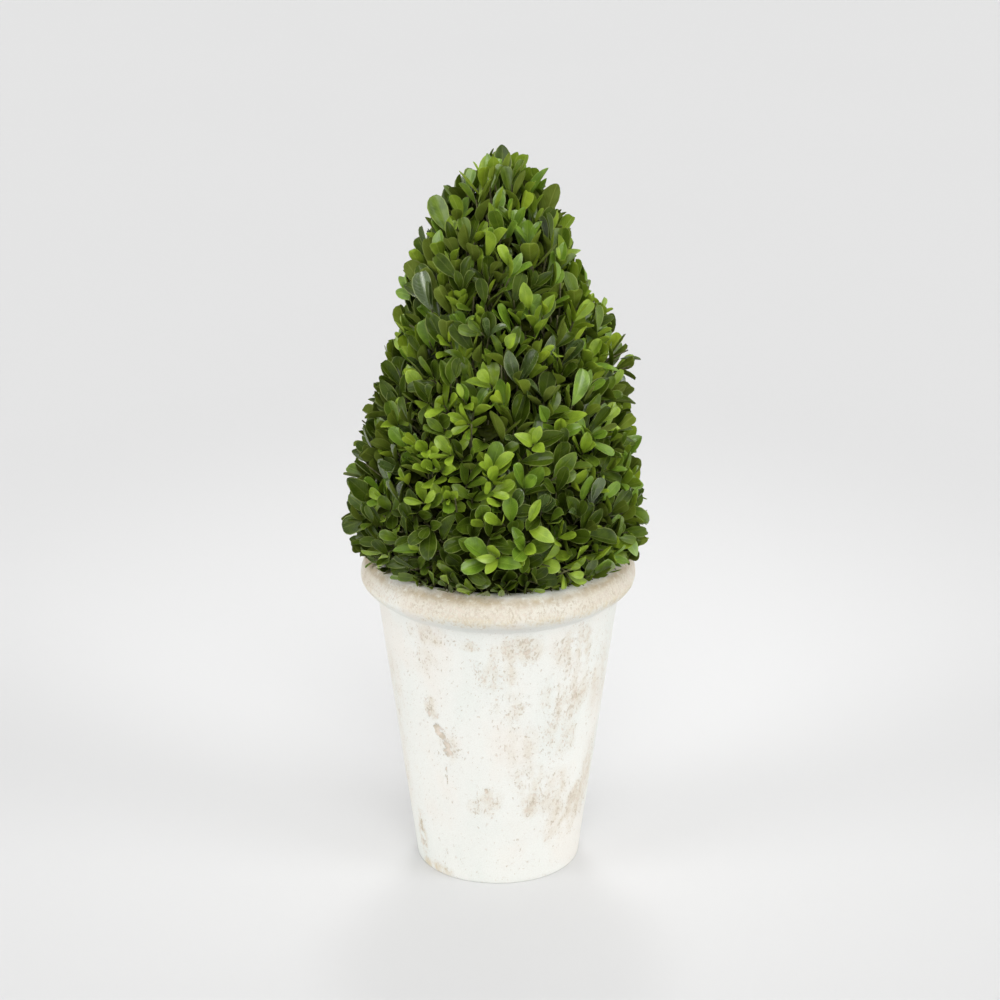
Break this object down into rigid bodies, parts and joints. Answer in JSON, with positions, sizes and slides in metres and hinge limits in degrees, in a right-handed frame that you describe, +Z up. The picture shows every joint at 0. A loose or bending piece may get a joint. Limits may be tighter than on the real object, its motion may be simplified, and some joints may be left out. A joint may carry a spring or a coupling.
{
  "type": "boxwood cone topiary in a pot",
  "caption": "Small-leaved evergreen shrub clipped to a rounded cone, on a short hidden stem in a tapered whitewashed clay pot with a rolled rim.",
  "frame": {"origin": "centre of the pot's flat underside, on the surface that it stands on", "axes": "+Z up along the pot's and the crown's axis; -Y is the side shown as the front"},
  "size_m": [0.2102, 0.2115, 0.5105],
  "materials": {
    "pot_clay": "matt whitewash worn through to sandy, pinkish-beige fired clay in chips, streaks and a band round the rim",
    "potting_soil": "dark, crumbly potting soil, matt",
    "bark": "grey-brown bark with shallow lengthwise ridges, matt",
    "leaves": "small leathery leaves, glossy dark olive to mid green above with a paler midrib and edge, matt yellow-green below"
  },
  "bodies": {
    "root": {"pot": "pot_clay", "soil": "potting_soil", "stem": "bark", "lower_foliage": "leaves", "middle_foliage": "leaves", "upper_foliage": "leaves"}
  },
  "joints": []
}
